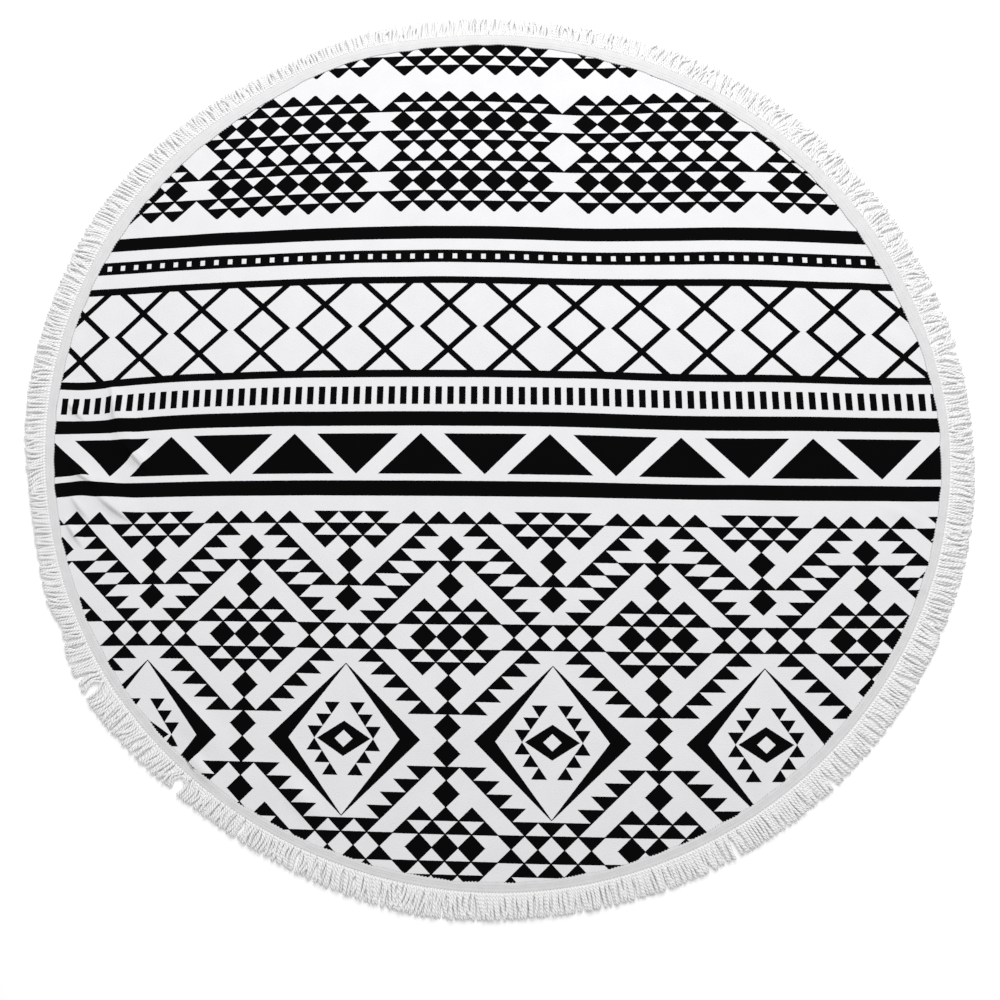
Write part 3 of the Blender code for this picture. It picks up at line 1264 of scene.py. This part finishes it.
@dataclass
class HeadingTape:
    """The woven tape that holds the cords, sewn over the panel's edge."""

    rim: Rim
    lie: Lie
    cords: int = 900
    steps_a_cord: int = 4
    steps_a_tooth: int = 4
    tooth_depth: float = 0.0015
    scallop: float = 0.0010
    scallop_rise: float = 0.0005
    teeth_end: float = 0.10  # shares of the width at which the edges' wavering ends or starts
    rise_start: float = 0.70
    scallop_start: float = 0.85
    bake_rows: int = 20
    bake_top: tuple[float, float] = (0.02, 0.80)  # (start, width) in a row
    bake_under: tuple[float, float] = (0.88, 0.10)
    top_line: Pairs = (
        # (share of the width, height)
        (0.00, 0.00258), (0.08, 0.00275), (0.17, 0.00293), (0.27, 0.00290), (0.40, 0.00305),
        (0.50, 0.00290), (0.64, 0.00300), (0.78, 0.00295), (0.92, 0.00300), (1.00, 0.00265),
    )
    under_line: Pairs = ((1.00, 0.00040), (0.62, 0.00060), (0.54, 0.00255))

    @property
    def steps(self) -> int:
        """The steps round the rim, a whole number to each cord."""
        return self.cords * self.steps_a_cord

    def top_height(self, share: float) -> float:
        """The height of the tape's upper face at a share of its width."""
        return float(np.interp(share, *zip(*self.top_line)))

    def build(self) -> Object:
        """Builds the tape as one closed strip round the rim.

        Returns:
            The piece, with its weave and bake coordinates.
        """
        line = [(1 + share, height) for share, height in self.top_line + self.under_line]
        piece = mesh_object("heading_tape", spun(line, self.steps, closed=True))
        mesh = piece.data
        unit = get_points(mesh)
        share, height = np.hypot(unit[:, 0], unit[:, 1]) - 1, unit[:, 2]
        angles = np.arctan2(unit[:, 1], unit[:, 0])
        step = np.round(angles / math.tau * self.steps) % self.steps
        inside = self.rim.tape_inside(angles)
        width = self.rim.root_radius(angles) - inside
        tooth = np.abs(step % self.steps_a_tooth - self.steps_a_tooth / 2) / (self.steps_a_tooth / 2)
        beside = 0.5 - 0.5 * np.cos(math.tau * (step % self.steps_a_cord) / self.steps_a_cord)
        inner_part = np.clip(1 - share / self.teeth_end, 0, 1)
        outer_part = np.clip((share - self.scallop_start) / (1 - self.scallop_start), 0, 1)
        radius = inside + share * width - tooth * self.tooth_depth * inner_part
        radius -= beside * self.scallop * outer_part
        x, y = radius * np.cos(angles), radius * np.sin(angles)
        rising = np.clip((share - self.rise_start) / (1 - self.rise_start), 0, 1)
        rise = self.scallop_rise * (1 - beside) * rising
        z = height + rise + self.lie.lift(self.rim, x, y)
        set_points(mesh, np.stack([x, y, z], axis=1))
        self.write_coordinates(mesh, share, angles)
        return piece

    def write_coordinates(self, mesh: Mesh, share: np.ndarray, angles: np.ndarray) -> None:
        """Writes the weave's coordinates, and the bake's as rows of equal length.

        Args:
            mesh: the tape's mesh.
            share: how far across the tape each point is.
            angles: where round the rim each point is, in radians.
        """
        corners, faces = loop_points(mesh), loop_faces(mesh)
        places = get_points(mesh)
        centre = np.arctan2(face_means(mesh, places[:, 1]), face_means(mesh, places[:, 0])) % math.tau
        row_length = math.tau / self.bake_rows
        row = np.floor(centre / row_length)[faces]
        turned = centre[faces] + (angles[corners] - centre[faces] + math.pi) % math.tau - math.pi
        write_uv(mesh, WEAVE_COORDINATES, turned * MEAN_RIM, share[corners])
        top, under = (start + width * share[corners] for start, width in (self.bake_top, self.bake_under))
        across = np.where(self.faces_down(mesh)[faces], under, top)
        turned = (turned - row * row_length) / row_length
        write_uv(mesh, BAKE_COORDINATES, turned, (row + across) / self.bake_rows)

    def faces_down(self, mesh: Mesh) -> np.ndarray:
        """Whether each face belongs to the underside."""
        return read_all(mesh.polygons, "normal", np.float32, 3)[:, 2] < 0

    def dress(self, piece: Object, effects: Effects) -> None:
        """Gives the tape its weave, and makes it ride with the towel."""
        piece.data.materials.append(TapeWeave().material(effects))
        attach(piece, TOWEL_BODY)


@dataclass
class SeamStitches:
    """The two rows of stitches that hold the tape on the panel."""

    rim: Rim
    lie: Lie
    tape: HeadingTape
    rows: tuple[float, ...] = (0.27, 0.53)
    pitch: float = 0.0030
    length: float = 0.0024
    thread_radius: float = 0.00035
    sides: int = 5
    bends: Pairs = (
        # (share of the length, rise in thread radii)
        (-0.5, -0.7), (-0.25, 0.6), (0.25, 0.6), (0.5, -0.7),
    )

    def template(self) -> Object:
        """Builds one stitch, a round thread bent down into the tape at both ends.

        Returns:
            A small closed object along x.
        """
        first, last = self.bends[0][0] * self.length, self.bends[-1][0] * self.length
        thread = [(self.thread_radius, place * self.length) for place, _ in self.bends]
        stitch = spun([(0.0, first), *thread, (0.0, last)], self.sides, closed=False)
        tip_over(stitch)
        made = mesh_object("one_stitch", stitch)
        points = get_points(made.data)
        places, rises = zip(*self.bends)
        points[:, 2] += np.interp(points[:, 0] / self.length, places, rises) * self.thread_radius
        set_points(made.data, points)
        return made

    def build(self) -> Object:
        """Lays the stitches along both rows.

        Returns:
            The piece.
        """
        a_row = round(math.tau * MEAN_RIM / self.pitch)
        total = a_row * len(self.rows)
        template = self.template()
        shape = get_points(template.data)
        piece = repeated(template, "seam_stitches", total)
        index = np.repeat(np.arange(total), len(shape))
        local = np.tile(shape, (total, 1))
        share = np.array(self.rows)[index // a_row]
        height = np.array([self.tape.top_height(row) for row in self.rows])[index // a_row]
        angles = (index % a_row) * math.tau / a_row
        inside = self.rim.tape_inside(angles)
        radius = inside + share * (self.rim.root_radius(angles) - inside)
        x = radius * np.cos(angles) - local[:, 0] * np.sin(angles) + local[:, 1] * np.cos(angles)
        y = radius * np.sin(angles) + local[:, 0] * np.cos(angles) + local[:, 1] * np.sin(angles)
        z = height + local[:, 2] + self.lie.lift(self.rim, x, y)
        set_points(piece.data, np.stack([x, y, z], axis=1))
        return piece

    def dress(self, piece: Object, effects: Effects) -> None:
        """Gives the stitches their thread, and makes them ride with the towel."""
        piece.data.materials.append(SewingThread().material(effects))
        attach(piece, TOWEL_BODY)


@dataclass
class CordFringe:
    """The fringe of twisted cords, each bent over its own way."""

    rim: Rim
    lie: Lie
    cords: int = 900
    beds: int = 2  # the cords lie two deep
    bed_height: float = 0.0024
    under_lean: float = 0.35  # how far the lower cords follow their group's lean
    sides: int = 5
    sections: int = 9
    cord_radius: float = 0.00260
    flatness: float = 0.64  # a soft cord sags as it lies
    root_radius: float = 0.0018
    tip_radius: float = 0.0017
    tip_round: float = 0.03
    steepest: float = 0.3  # the lean, in radians, past which a cord is made no longer
    hook_middle: float = 0.25
    bed_rise: float = 0.5  # the share of a cord over which it climbs on its bed
    bake_margin: float = 0.05  # of a bake cell
    bake_girth: float = 0.75
    digits: int = 5  # to which two sections' places are told apart
    sunk: float = 0.0030  # of each cord, inside the tape
    lean_ease: float = 1.5
    lean_share: float = 0.70
    lean_scatter: float = 5.0
    mingling: float = 0.7  # degrees round the rim over which two groups cross
    sway: float = 13.0
    hook: float = 18.0
    unrest: Pairs = (
        # (at, share): where the cords lie more or less tangled
        (5, 1.3), (40, 1.5), (60, 1.3), (105, 1.0), (140, 0.9), (175, 0.8), (220, 0.8), (240, 1.3),
        (255, 0.9), (330, 0.7),
    )
    length_scatter: float = 0.035
    layers: float = 0.0020
    bake_cells: int = 43
    seed: int = 11
    leans: Pairs = (
        # (at, lean): which way the cords lie round the rim, in degrees, towards rising angles
        (0, 12), (3.5, 12), (5.5, -20), (9.4, -20), (10.2, 20), (13, 18), (14.4, -14), (16, -12),
        (17.2, 10), (19, 8), (20.6, -20), (23.2, -25), (23.6, 18), (26.8, 16), (28.2, -15), (29.2, -14),
        (30, 12), (31, 10), (32, -20), (35.4, -25), (35.8, 18), (38.3, 16), (39.6, -10), (44, -10),
        (46, -18), (50.5, -18), (52.5, 0), (55, 0), (57, 14), (59.5, 13), (62, -18), (69.5, -18),
        (71.8, 8), (88, 3), (91, -15), (97.5, -15), (100, -22), (106.5, -22), (109, -5), (122, -5),
        (127, -8), (129.5, 3), (138.5, 0), (139.8, -8), (140.2, 10), (151.5, 7), (153.5, 22), (156, 22),
        (157.5, -12), (159, -12), (161, -5), (169.8, -4), (170.2, 9), (182.5, 5), (184.5, 30),
        (187.2, 30), (190, -15), (199, -16), (201, -25), (209.5, -24), (211, -12), (213.3, -14),
        (213.7, 14), (218, 10), (220, -8), (228.3, -16), (228.7, 10), (232.5, 8), (234.5, -5),
        (237.5, -5), (239, 5), (242.5, 5), (244.5, 15), (255.8, 13), (256.2, 22), (257.8, 22),
        (259, -20), (260.8, -18), (262, 0), (265, 0), (266.5, 10), (269.5, 8), (273, 0), (329.5, 2),
        (331, -14), (334.8, -14), (335.2, 9), (345.5, 8), (348, 0), (357, 0),
    )
    hole_closing: float = 0.55
    hole_scatter: float = 0.45
    hole_fade: float = 3.0  # the push round a hole dies away over this many reaches
    holes: tuple[tuple[float, float, float], ...] = (
        # (at, radius, reach): where the cords lie round a bare spot
        (214.2, 0.7400, 0.0118), (229.7, 0.7370, 0.0112),
    )

    def template(self) -> Object:
        """Builds one straight cord along x, one unit long, from its root to its rounded tip.

        Returns:
            A small closed object with its strand and bake coordinates in unit squares.
        """
        profile = [(0.0, 0.0), (self.root_radius, 0.0)]
        profile += [(self.cord_radius, index / self.sections) for index in range(1, self.sections)]
        profile += [(self.tip_radius, 1.0 - self.tip_round), (0.0, 1.0)]
        cord = spun(profile, self.sides, closed=False)
        tip_over(cord)
        bmesh.ops.scale(cord, verts=cord.verts, vec=(1.0, 1.0, self.flatness))
        made = mesh_object("one_cord", cord)
        self.write_strand(made.data)
        return made

    def write_strand(self, mesh: Mesh) -> None:
        """Writes how far along and how far round the cord each face corner is."""
        points = get_points(mesh)
        corners, faces = loop_points(mesh), loop_faces(mesh)
        turn = np.arctan2(points[:, 2], points[:, 1]) / math.tau
        centre = np.arctan2(face_means(mesh, points[:, 2]), face_means(mesh, points[:, 1])) / math.tau
        near = centre[faces] + (turn[corners] - centre[faces] + 0.5) % 1 - 0.5
        along = points[corners, 0]
        write_uv(mesh, STRAND_COORDINATES, along, near)
        room = 1 - 2 * self.bake_margin
        write_uv(mesh, BAKE_COORDINATES, self.bake_margin + room * along, 0.5 + self.bake_girth * near)

    def paths(self, sections: np.ndarray) -> tuple[np.ndarray, np.ndarray, np.ndarray]:
        """Finds each cord's run over the ground.

        Args:
            sections: the shares of the length at which it is wanted, from nought to one.

        Returns:
            For each cord and share, its place across, its place along, and its heading in radians.
        """
        chance = np.random.default_rng(self.seed)
        total = self.cords * self.beds
        angles = (np.arange(total) / self.beds) * math.tau / self.cords
        at, lean = zip(*self.leans)
        grouped = np.degrees(angles) + chance.normal(0, self.mingling, total)
        follows = np.where(np.arange(total) % self.beds, self.lean_share, self.under_lean)
        leans = follows * np.interp(grouped % 360, (*at, 360), (*lean, lean[0]))
        leans = np.radians(leans + chance.normal(0, self.lean_scatter, total))
        root = self.rim.root_radius(angles) - self.sunk
        length = (self.rim.tip_radius(angles) - root) / np.cos(np.clip(leans, -self.steepest, self.steepest))
        length *= 1 + chance.uniform(-self.length_scatter, self.length_scatter, total)
        unrest = around(angles, self.unrest)
        sway, hook = (
            (np.radians(chance.normal(0, spread, total)) * unrest)[:, None]
            for spread in (self.sway, self.hook)
        )
        turned = leans[:, None] * self.lean_ease * np.sqrt(sections)[None]
        curled = sway * np.sin(math.tau * sections) + hook * (sections**3 - self.hook_middle)
        heading = angles[:, None] + turned + curled
        middle = (heading[:, 1:] + heading[:, :-1]) / 2
        steps = np.diff(sections)[None] * length[:, None]
        start = np.zeros((total, 1))
        run_x, run_y = (
            (root * way(angles))[:, None] + np.hstack([start, np.cumsum(way(middle) * steps, axis=1)])
            for way in (np.cos, np.sin)
        )
        return *self.round_holes(chance, run_x, run_y), heading

    def round_holes(
        self, chance: np.random.Generator, run_x: np.ndarray, run_y: np.ndarray
    ) -> tuple[np.ndarray, np.ndarray]:
        """Pushes the cords sideways round each bare spot.

        Args:
            chance: the fringe's own random numbers.
            run_x: each cord's places across.
            run_y: each cord's places along.

        Returns:
            The places after the push.
        """
        for at, radius, reach in self.holes:
            out_x, out_y = math.cos(math.radians(at)), math.sin(math.radians(at))
            off = run_x * out_x + run_y * out_y - radius
            beside = run_y * out_x - run_x * out_y
            nearest = np.take_along_axis(beside, np.abs(off).argmin(axis=1)[:, None], axis=1)
            closing = np.where(off < 0, (off / reach) ** 2, self.hole_closing * off / reach)
            fade = np.clip(1 - np.abs(beside) / (self.hole_fade * reach), 0, 1)
            room = reach * np.sqrt(np.clip(1 - closing, 0, 1)) * fade
            room *= 1 - chance.uniform(0, self.hole_scatter, len(room))[:, None]
            pushed = np.where(nearest < 0, -room, room)
            run_x, run_y = run_x - pushed * out_y, run_y + pushed * out_x
        return run_x, run_y

    def build(self) -> Object:
        """Builds all the cords as one mesh, and bends each along its own run.

        Returns:
            The piece, with its strand and bake coordinates.
        """
        template = self.template()
        shape = get_points(template.data)
        loops = len(template.data.loops)
        total = self.cords * self.beds
        piece = repeated(template, "cord_fringe", total)
        sections, which = np.unique(np.round(shape[:, 0], self.digits), return_inverse=True)
        run_x, run_y, heading = self.paths(sections)
        x, y, facing = run_x[:, which], run_y[:, which], heading[:, which]
        side, up = shape[None, :, 1], shape[None, :, 2]
        chance = np.random.default_rng(self.seed + 1)
        layer = chance.uniform(0, 1, total) ** 2 * self.layers
        bed = (np.arange(total) % self.beds)[:, None] * self.bed_height
        shares = shape[None, :, 0]
        z = up + self.section_heights(shape, which)[None]
        z = z + (self.lie.lift(self.rim, x, y) * (1 - shares) + layer[:, None] * shares)
        z = z + bed * np.clip(shares / self.bed_rise, 0, 1)
        points = np.stack([x - side * np.sin(facing), y + side * np.cos(facing), z], axis=2)
        set_points(piece.data, points.reshape(-1, 3))
        self.spread_bake(piece.data, loops)
        return piece

    def section_heights(self, shape: np.ndarray, which: np.ndarray) -> np.ndarray:
        """How high the middle of each point's section is, so that it rests on the ground."""
        lowest = [shape[which == section, 2].min() for section in range(which.max() + 1)]
        return -np.array(lowest)[which]

    def spread_bake(self, mesh: Mesh, loops: int) -> None:
        """Gives each cord a cell of its own in the bake."""
        layer = mesh.uv_layers[BAKE_COORDINATES]
        pairs = read_all(layer.uv, "vector", np.float32, 2)
        index = np.arange(len(pairs)) // loops
        cell = np.stack([index % self.bake_cells, index // self.bake_cells], axis=1)
        layer.uv.foreach_set("vector", ((pairs + cell) / self.bake_cells).astype(np.float32).ravel())

    def dress(self, piece: Object, effects: Effects) -> None:
        """Gives the cords their cotton, and puts them in the place of the solid."""
        piece.data.materials.append(TwistedCotton().material(effects))
        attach(piece, TOWEL_BODY)
        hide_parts("fringe_trim")


# ---------------------------------------------------------------- the studio


@dataclass
class Studio:
    """The pale floor, the soft lights and the camera above the towel."""

    floor_half: float = 5.0
    floor_drop: float = 0.0003
    floor_colour: Colour = (0.97, 0.97, 0.97)
    floor_roughness: float = 0.9
    floor_specular: float = 0.1
    floor_fleck: float = 0.01
    floor_fleck_scale: float = 6.0
    floor_glow: float = 0.10
    sky_strength: float = 0.67
    key_place: tuple[float, float, float] = (0.25, 1.7, 2.1)
    key_size: float = 2.2
    key_power: float = 55.0
    camera_place: tuple[float, float, float] = (0.0013, -0.8879, 2.5498)
    camera_tilt: float = 16.81  # from straight down
    camera_lens: float = 61.24
    camera_sensor: float = 36.0

    def build_floor(self) -> Object:
        """Lays the plain floor just under the towel.

        Returns:
            The floor, marked as stage.
        """
        ground = bmesh.new()
        bmesh.ops.create_grid(ground, x_segments=1, y_segments=1, size=self.floor_half)
        bmesh.ops.translate(ground, verts=ground.verts, vec=(0, 0, -self.floor_drop))
        floor = mesh_object("floor", ground)
        levels = self.floor_roughness, self.floor_specular, 0.0
        material, tree, shader = start_material("pale_floor", *levels)
        place = own_place(tree)
        flecks = fill(
            lay_node(tree, "ShaderNodeTexNoise"), Vector=place, Scale=self.floor_fleck_scale, Detail=2.0
        )
        tone = Formula(tree, flecks.outputs[0]) * self.floor_fleck + (1 - self.floor_fleck / 2)
        fill(shader, Base_Color=tinted(tree, self.floor_colour, tone), Emission_Strength=self.floor_glow)
        shader.inputs["Emission Color"].default_value = PLAIN_WHITE
        floor.data.materials.append(material)
        return floor

    def build_lights(self) -> None:
        """Sets the pale sky and one broad soft lamp, above and beyond the towel."""
        world = bpy.data.worlds.new("studio_sky")
        world.use_nodes = True
        sky = world.node_tree.nodes["Background"]
        sky.inputs["Color"].default_value = PLAIN_WHITE
        sky.inputs["Strength"].default_value = self.sky_strength
        bpy.context.scene.world = world
        lamp = bpy.data.lights.new("key_lamp", "AREA")
        lamp.size = self.key_size
        lamp.energy = self.key_power
        key = bpy.data.objects.new("key_lamp", lamp)
        key.location = self.key_place
        key.rotation_euler = (-Vector(self.key_place)).to_track_quat("-Z", "Y").to_euler()
        bpy.context.scene.collection.objects.link(key)

    def build_camera(self) -> None:
        """Places the camera where the photograph was taken from."""
        camera = bpy.data.cameras.new("camera")
        camera.sensor_width = self.camera_sensor
        camera.lens = self.camera_lens
        holder = bpy.data.objects.new("camera", camera)
        holder.location = self.camera_place
        holder.rotation_euler = (math.radians(self.camera_tilt), 0, 0)
        bpy.context.scene.collection.objects.link(holder)
        bpy.context.scene.camera = holder
        bpy.context.scene.view_settings.view_transform = "Standard"


def report_piece(piece: Object) -> None:
    """Logs a piece's name and how many triangles it has."""
    piece.data.calc_loop_triangles()
    log.info("%s: %d triangles", piece.name, len(piece.data.loop_triangles))


def main() -> None:
    """Sets up the studio, and then builds and dresses the towel, piece by piece."""
    logging.basicConfig(level=logging.INFO, format="%(name)s %(message)s")
    rim, lie = Rim(), Lie()
    effects = Effects(loops_group(), fibres_group())
    studio = Studio()
    studio.build_camera()
    studio.build_floor()
    studio.build_lights()

    panel = TerryPanel(rim, lie, PrintDrift(), BandedPrint())
    tape = HeadingTape(rim, lie)
    for maker in (panel, tape, SeamStitches(rim, lie, tape), CordFringe(rim, lie)):
        piece = maker.build()
        maker.dress(piece, effects)
        report_piece(piece)


if __name__ == "__main__":
    main()
